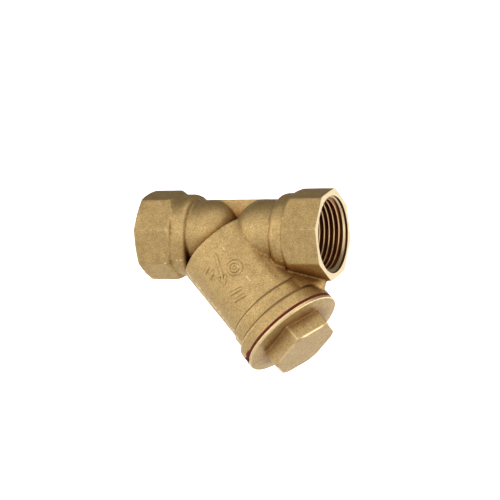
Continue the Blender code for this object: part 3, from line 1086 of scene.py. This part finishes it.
def fibre(name):
    made, nodes, links, shader = shader_material(name, (0.12, 0.012, 0.008), 0.75, 0.0)
    shader.inputs["Specular IOR Level"].default_value = 0.15
    strands = noise_node(nodes, links, 1800, 4, 0.7)
    stops = [(0.3, (0.06, 0.007, 0.005)), (0.7, (0.25, 0.03, 0.015))]
    colour = ramp(nodes, links, strands.outputs["Fac"], stops)
    # Painted shade where the gasket lies recessed between the rim and the flange
    recess_shade = occlusion(nodes, links, 2 * MM, [(0.4, (0.12, 0.06, 0.06)), (0.72, NO_DARKENING)])
    links.new(mix(nodes, links, "MULTIPLY", 1.0, colour, recess_shade), shader.inputs["Base Color"])
    links.new(bump(nodes, links, strands.outputs["Fac"], 0.6, 0.1 * MM), shader.inputs["Normal"])
    return made


def steel(name):
    made, nodes, links, shader = shader_material(name, (0.62, 0.61, 0.58), 0.32, 1.0)
    smear = noise_node(nodes, links, 400, 4)
    stops = [(0.3, (0.50, 0.49, 0.46)), (0.7, (0.68, 0.67, 0.65))]
    links.new(ramp(nodes, links, smear.outputs["Fac"], stops), shader.inputs["Base Color"])
    rough = ramp(nodes, links, smear.outputs["Fac"], [(0.3, 0.42), (0.7, 0.26)])
    links.new(rough, shader.inputs["Roughness"])
    links.new(bump(nodes, links, smear.outputs["Fac"], 0.2, 0.05 * MM), shader.inputs["Normal"])
    return made


# The studio

FLOOR_LEVEL = -0.6
WALL_TOP = 0.64
CAMERA_PLACE = Vector((368.02, -677.37, -68.90)) * MM
CAMERA_TURN = (25.3123, 4.7349, 2.3303)  # heading, pitch and roll in degrees
LAMPS = (  # name, place from the object's centre, size, power
    ("key", (0.2, -1.2, 0.75), 2.2, 12.0),
    ("fill", (-1.2, -0.75, 0.35), 1.5, 6.5),
    ("top", (0.5, -0.3, 1.1), 0.8, 2.0),
    ("side", (1.0, -1.0, 0.0), 0.5, 1.6),
    ("edge", (1.3, 0.05, -0.25), 0.6, 1.0),
)


def ring_wall():
    """A round floor that curves up into a low wall. Sizes are in metres."""
    inner, reach, bend, steps = 0.2, 2.0, 0.5, 96
    outline = [(inner, FLOOR_LEVEL), (reach - bend, FLOOR_LEVEL)]
    for i in range(1, 13):
        angle = math.pi / 2 * i / 12
        radius = reach - bend + bend * math.sin(angle)
        outline.append((radius, FLOOR_LEVEL + bend * (1 - math.cos(angle))))
    outline.append((reach, WALL_TOP))
    shape = bmesh.new()
    rings = []
    for radius, height in outline:
        angles = [math.tau * i / steps for i in range(steps)]
        rings.append([shape.verts.new(turned(radius, a, height)) for a in angles])
    for low, high in zip(rings, rings[1:]):
        for i in range(steps):
            j = (i + 1) % steps
            shape.faces.new((low[i], high[i], high[j], low[j]))
    shape.faces.new(rings[0])
    return finished(shape, "floor")


def studio():
    """A pale floor and wall that glow behind the object, less in front, and soft lamps."""
    floor = add("floor", ring_wall())
    floor.data.shade_smooth()
    pale, nodes, links, shader = shader_material("floor_pale", (0.8, 0.8, 0.8), 0.9, 0.0)
    place = nodes.new("ShaderNodeSeparateXYZ")
    links.new(nodes.new("ShaderNodeTexCoord").outputs["Object"], place.inputs["Vector"])
    low, high = FLOOR_LEVEL + 0.1, FLOOR_LEVEL + 0.4
    glow = map_range(nodes, links, place.outputs["Z"], low, high, 0.3, 0.95)
    front = map_range(nodes, links, place.outputs["Y"], -0.6, 0.6, 0.15)
    both = nodes.new("ShaderNodeMath")
    both.operation = "MULTIPLY"
    links.new(glow, both.inputs[0])
    links.new(front, both.inputs[1])
    shader.inputs["Emission Color"].default_value = (1, 1, 1, 1)
    links.new(both.outputs["Value"], shader.inputs["Emission Strength"])
    dress(floor, [pale])
    world = bpy.data.worlds.new("studio")
    world.use_nodes = True
    world.node_tree.nodes["Background"].inputs["Color"].default_value = (1.0, 0.94, 0.85, 1)
    world.node_tree.nodes["Background"].inputs["Strength"].default_value = 0.22
    bpy.context.scene.world = world
    bpy.context.scene.view_settings.view_transform = "Standard"
    centre = (cad_box[0] + cad_box[1]) / 2
    for name, place, size, power in LAMPS:
        data = bpy.data.lights.new(name, "AREA")
        data.size = size
        data.energy = power
        lamp = bpy.data.objects.new(name, data)
        bpy.context.scene.collection.objects.link(lamp)
        lamp.location = centre + Vector(place)
        lamp.rotation_mode = "QUATERNION"
        lamp.rotation_quaternion = (centre - lamp.location).to_track_quat("-Z", "Y")


def camera():
    """The viewpoint: the object stands about 0.75 m from the lens."""
    data = bpy.data.cameras.new("camera")
    data.lens = 122.95
    data.sensor_width = 36
    data.clip_start = 0.01
    made = bpy.data.objects.new("camera", data)
    bpy.context.scene.collection.objects.link(made)
    heading, pitch, roll = (math.radians(angle) for angle in CAMERA_TURN)
    level = Vector((math.cos(heading), math.sin(heading), 0))
    ahead = Vector((-math.sin(heading), math.cos(heading), 0))
    view = ahead * math.cos(pitch) + Vector((0, 0, math.sin(pitch)))
    right = level * math.cos(roll) + level.cross(view) * math.sin(roll)
    made.matrix_world = Matrix((right, right.cross(view), -view)).transposed().to_4x4()
    made.location = CAMERA_PLACE
    bpy.context.scene.camera = made


# The pieces

RUN = ((0, 0, 0), (1, 0, 0))  # a point of the axis, and its direction
cast_brass = blasted_brass("cast_brass", CAST_LIGHT, CAST_DARK, 0.46, 0.522)
forged_brass = blasted_brass("forged_brass", FORGED_LIGHT, FORGED_DARK, 0.42, 0.505)
run_turned = turned_brass("run_turned_brass", FACE_BRASS, 0.3, *RUN)
run_thread = turned_brass("run_thread_brass", THREAD_BRASS, 0.3, *RUN, SOCKET_MINOR)
branch_turned = turned_brass("branch_turned_brass", CAP_BRASS, 0.25, BRANCH_ORIGIN, BRANCH_AXIS)
# A flat dark brown for the painted shadow in the step grooves
step_foot_shadow = shader_material("step_foot_shadow", STEP_SHADOW_BROWN, 0.7, 0.0)[0]

body = make_body([cast_brass, run_turned, branch_turned, run_thread, step_foot_shadow])
cap = make_cap([forged_brass, branch_turned])
gasket = dress(make_gasket(), [fibre("gasket_fibre_red")])
screen_finish = steel("screen_steel_satin")
sleeve = dress(make_sleeve(), [screen_finish])
seat_ring = dress(make_ring("seat_ring", SEAT_FACE + 0.3 * MM, 1), [screen_finish])
cap_ring = dress(make_ring("cap_ring", RECESS_FLOOR - 0.3 * MM, -1), [screen_finish])
for piece, body_name, node_name, slot_name in (
    (body, "valve_body", "valve_body", "cast_brass"),
    (cap, "cap", "strainer_cap", "forged_brass"),
    (gasket, "gasket", "cap_gasket", "gasket_fibre"),
    (sleeve, "screen", "screen_sleeve", "screen_steel"),
    (seat_ring, "screen", "screen_seat_ring", "screen_steel"),
    (cap_ring, "screen", "screen_cap_ring", "screen_steel"),
):
    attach(piece, body_name)
    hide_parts(node_name)

studio()
camera()
